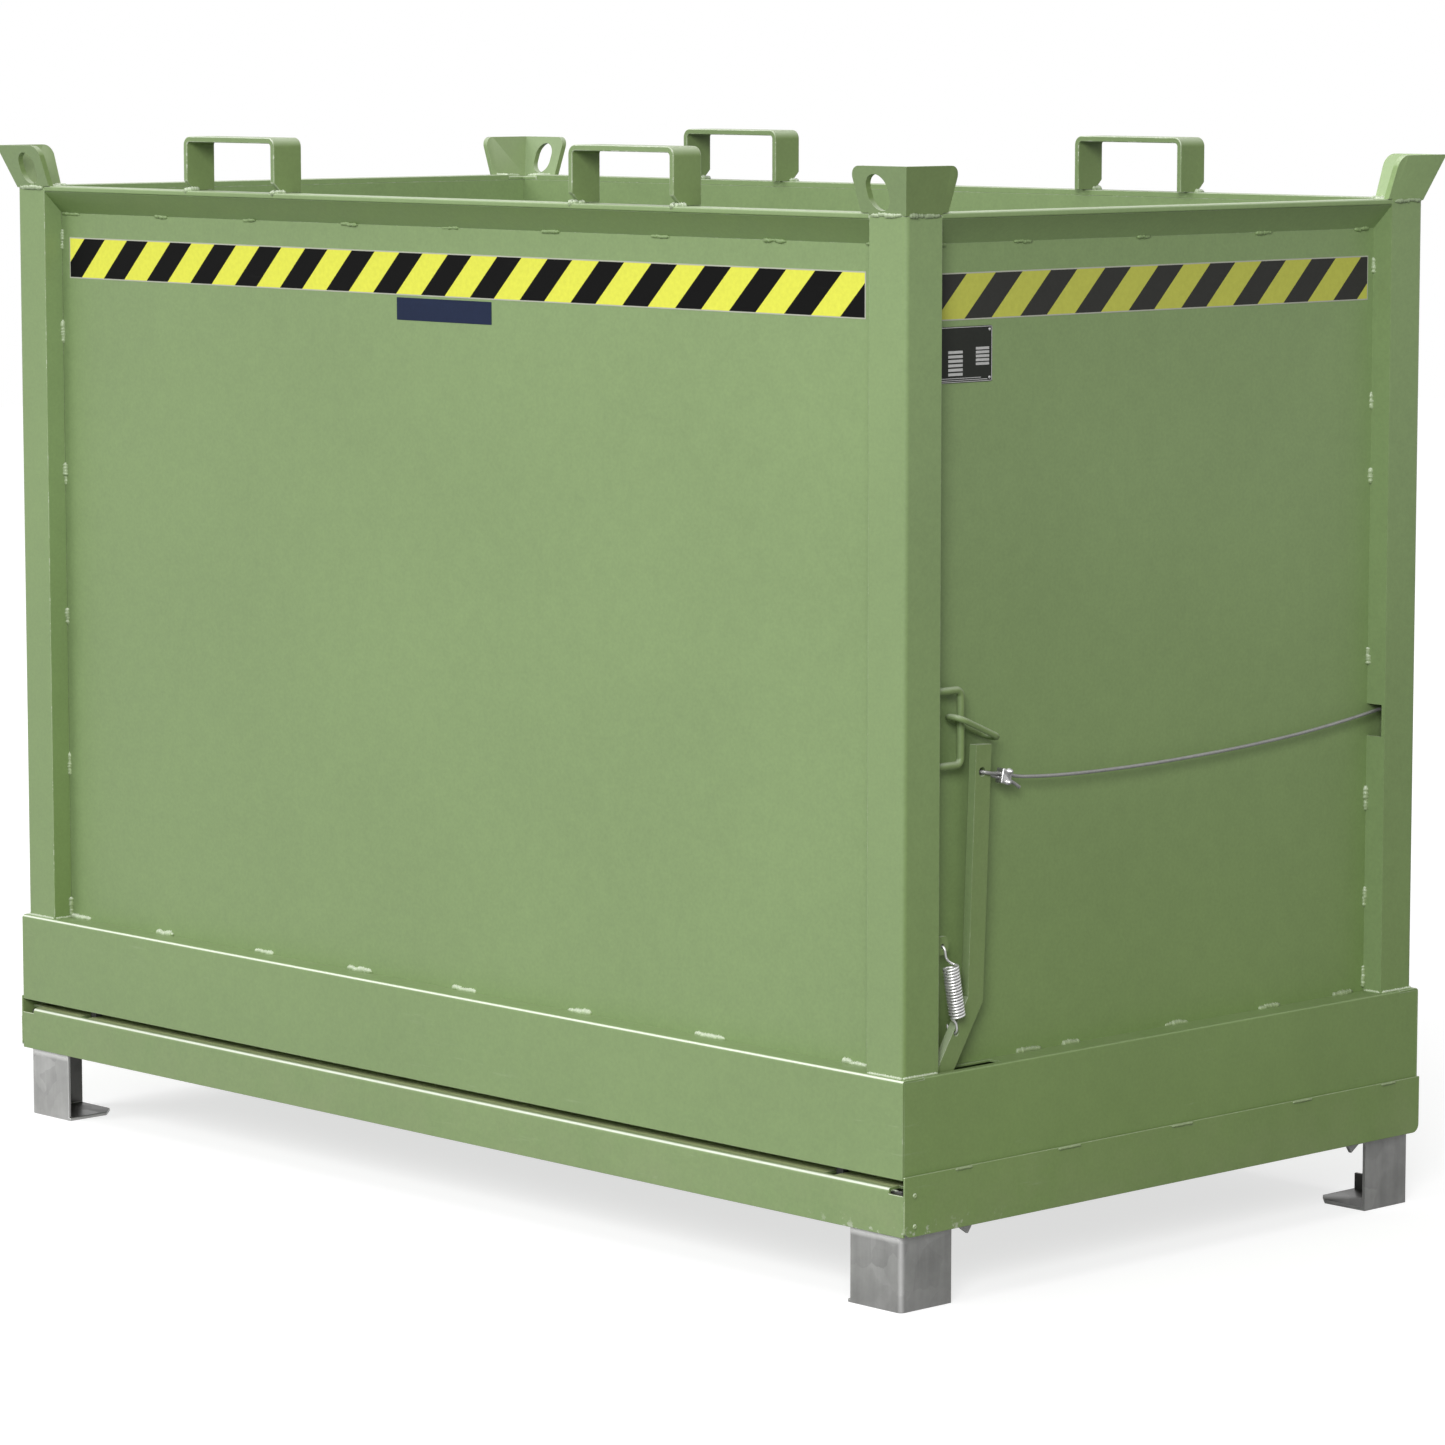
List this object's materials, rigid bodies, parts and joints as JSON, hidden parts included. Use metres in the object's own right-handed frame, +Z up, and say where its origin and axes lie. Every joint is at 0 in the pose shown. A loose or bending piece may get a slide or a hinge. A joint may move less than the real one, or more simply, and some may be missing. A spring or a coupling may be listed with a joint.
{
  "type": "hinged bottom hopper",
  "caption": "Open steel hopper whose floor is a flap hinged at the back, held by hooks on a lever shaft with rope, spring and lock ring",
  "frame": {"origin": "on the ground under the middle of the corner posts' outline", "axes": "X along the long side with the lever's short side at +X, Y from the front long side to the hinged back, Z up"},
  "size_m": [1.888, 1.059, 1.468],
  "materials": {
    "green_paint": "satin",
    "galvanised_steel": "matt",
    "zinc_plated_steel": "satin",
    "wire_rope_steel": "satin"
  },
  "bodies": {
    "container": {"wall_front": "green_paint", "wall_back": "green_paint", "wall_right": "green_paint", "wall_left": "green_paint", "rim_bar_front": "green_paint", "rim_bar_back": "green_paint", "rim_bar_right": "green_paint", "rim_bar_left": "green_paint", "post_front_left": "green_paint", "post_front_right": "green_paint", "post_back_left": "green_paint", "post_back_right": "green_paint", "band_front": "green_paint", "band_back": "green_paint", "band_right": "green_paint", "band_left": "green_paint", "lug_front_right": "green_paint", "lug_front_left": "green_paint", "lug_back_right": "green_paint", "lug_back_left": "green_paint", "loop_front_left": "green_paint", "loop_front_right": "green_paint", "loop_back_left": "green_paint", "loop_back_right": "green_paint", "staple": "green_paint", "spring_tab": "green_paint", "rope_roller": "zinc_plated_steel", "roller_pin": "zinc_plated_steel", "shaft_bearing_left": "green_paint", "shaft_bearing_middle": "green_paint", "shaft_bearing_right": "green_paint", "hinge_ears_left": "green_paint", "hinge_ears_middle": "green_paint", "hinge_ears_right": "green_paint", "hinge_pins": "zinc_plated_steel", "return_spring": "zinc_plated_steel", "wire_rope": "wire_rope_steel"},
    "bottom_flap": {"flap_floor": "green_paint", "flap_lip_front": "green_paint", "flap_lip_left": "green_paint", "flap_lip_right": "green_paint", "flap_lip_back": "green_paint", "flap_frame": "green_paint", "hinge_tongue_left": "green_paint", "hinge_tongue_middle": "green_paint", "hinge_tongue_right": "green_paint", "foot_front_right": "galvanised_steel", "foot_front_left": "galvanised_steel", "foot_back_right": "galvanised_steel", "foot_back_left": "galvanised_steel"},
    "latch": {"lever": "green_paint", "latch_shaft": "galvanised_steel", "hook_left": "galvanised_steel", "hook_right": "galvanised_steel", "rope_eye": "wire_rope_steel", "rope_clip": "zinc_plated_steel"},
    "safety_ring": {"safety_ring": "green_paint"},
    "pull_handle": {"pull_ring": "zinc_plated_steel"}
  },
  "joints": [
    {"name": "flap_hinge", "type": "hinge", "parent": "container", "child": "bottom_flap", "pos_m": [0, 0.521, 0.165], "axis": [1, 0, 0], "range_deg": [0, 85]},
    {"name": "latch_turn", "type": "hinge", "parent": "container", "child": "latch", "pos_m": [0, -0.484, 0.195], "axis": [-1, 0, 0], "range_deg": [0, 20], "stiffness_Nm_per_rad": 90, "springref_deg": -3.44, "deforming": ["return_spring", "wire_rope"]},
    {"name": "ring_slide", "type": "slide", "parent": "container", "child": "safety_ring", "axis": [0, 0, -1], "range_m": [0, 0.035]},
    {"name": "pull_slide", "type": "slide", "parent": "container", "child": "pull_handle", "axis": [0, 0, -1], "range_m": [0, 0.152]}
  ],
  "couplings": [
    {"joint": "pull_slide", "follows": "latch_turn", "m_per_rad": 0.4354}
  ]
}
